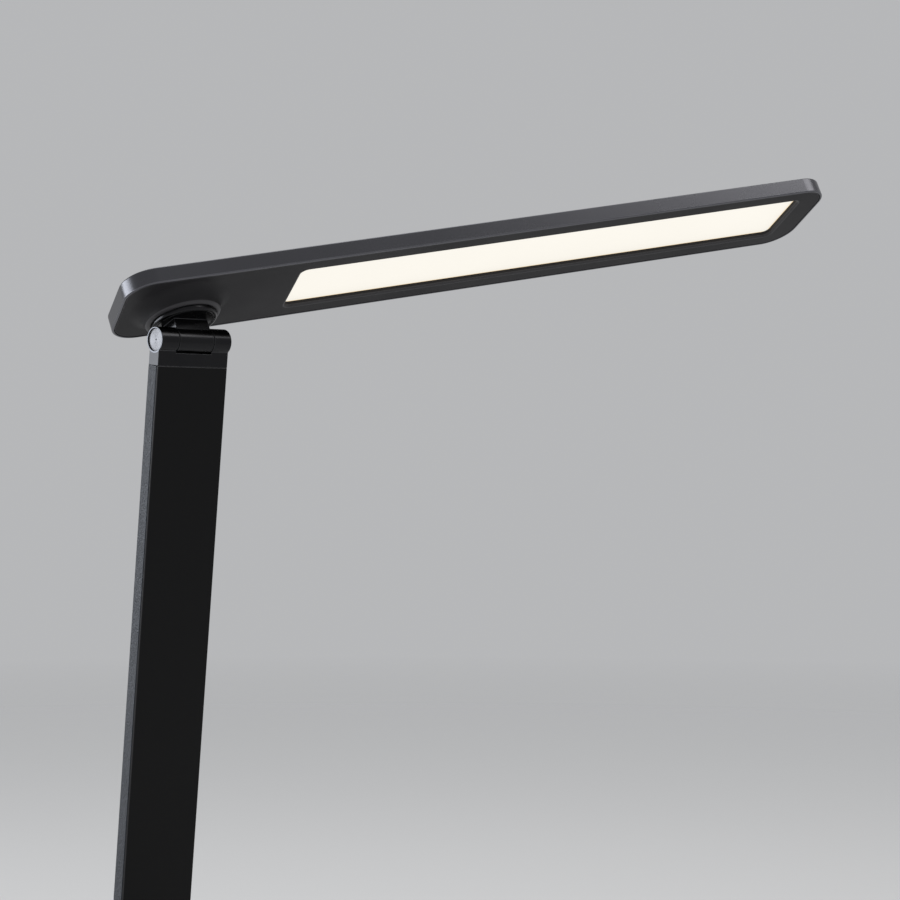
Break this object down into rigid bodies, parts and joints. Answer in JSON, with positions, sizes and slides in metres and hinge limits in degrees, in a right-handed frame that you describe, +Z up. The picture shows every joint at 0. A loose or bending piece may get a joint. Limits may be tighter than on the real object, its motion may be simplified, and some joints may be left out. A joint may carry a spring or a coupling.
{
  "type": "folding led desk lamp",
  "caption": "Slim folding LED desk lamp: weighted slab base, flat folding arm with a round barrel hinge at each end, and a long flat light bar that tilts and swivels.",
  "frame": {"origin": "centre of the flat face that the lamp stands on, under the middle of the base", "axes": "+Z up, both hinge axes along X, and -Y towards the front, where the arm leans and folds"},
  "size_m": [0.4243, 0.2116, 0.4971],
  "materials": {
    "grey_satin": "dark grey satin paint with a fine metallic speckle",
    "grey_metal": "dark grey satin paint on aluminium, brighter at its edges",
    "graphite_metal": "satin graphite, brushed",
    "graphite_plate": "smooth matt graphite",
    "grained_grey": "coarse grained blue grey coating",
    "turned_cap": "turned face with circular machining marks",
    "lit_diffuser": "opal diffuser, lit warm white",
    "clear_acrylic": "polished clear acrylic",
    "white_film": "white film",
    "black_foam": "closed-cell foam",
    "board_white": "white solder mask",
    "chip_yellow": "phosphor yellow",
    "heat_aluminium": "mill finish",
    "copper_film": "flat copper film cable",
    "sheet_steel": "zinc plated sheet",
    "screw_steel": "zinc plated",
    "cast_weight": "rough cast, painted black",
    "black_rubber": "matt anti-slip rubber",
    "gloss_black": "gloss black touch panel",
    "black_plastic": "moulded black",
    "board": "green solder mask",
    "lead_jacket": "black wire jacket",
    "black_acetal": "self-lubricating acetal"
  },
  "bodies": {
    "base": {"base_shell": "grey_satin", "base_plate": "sheet_steel", "base_pad": "black_rubber", "base_weight": "cast_weight", "base_screws": "screw_steel", "touch_panel": "gloss_black", "touch_board": "board", "touch_ribbon": "white_film", "power_board": "board", "power_inlet": "black_plastic", "base_bracket": "graphite_metal", "bracket_screws": "screw_steel", "base_lead": "lead_jacket"},
    "arm": {"arm_channel": "grained_grey", "arm_front_plate": "graphite_plate", "arm_foot": "graphite_metal", "arm_neck": "graphite_metal", "arm_screws": "screw_steel", "arm_lead": "lead_jacket", "lower_hinge_pin": "screw_steel", "lower_hinge_caps": "turned_cap", "lower_hinge_washers": "black_acetal", "upper_hinge_pin": "screw_steel", "upper_hinge_caps": "turned_cap", "upper_hinge_washers": "black_acetal"},
    "bracket": {"tilt_bracket": "graphite_metal", "swivel_washer": "screw_steel", "swivel_nut": "screw_steel"},
    "head": {"head_frame": "grey_metal", "head_cover": "grey_satin", "diffuser": "lit_diffuser", "light_guide": "clear_acrylic", "reflector_sheet": "white_film", "foam_pad": "black_foam", "led_boards": "board_white", "led_chips": "chip_yellow", "heat_bars": "heat_aluminium", "swivel_plate": "sheet_steel", "swivel_screws": "screw_steel", "head_ribbon": "copper_film"}
  },
  "joints": [
    {"name": "arm_fold", "type": "hinge", "parent": "base", "child": "arm", "pos_m": [0, 0.05, 0.046], "axis": [1, 0, 0], "range_deg": [-21.3, 83.7]},
    {"name": "head_tilt", "type": "hinge", "parent": "arm", "child": "bracket", "pos_m": [0, 0.00995, 0.4088], "axis": [1, 0, 0], "range_deg": [-28.7, 121.3]},
    {"name": "head_swivel", "type": "hinge", "parent": "bracket", "child": "head", "pos_m": [0, 0.01755, 0.42511], "axis": [0, 0.4226, 0.9063], "range_deg": [-157.5, 22.5]}
  ]
}
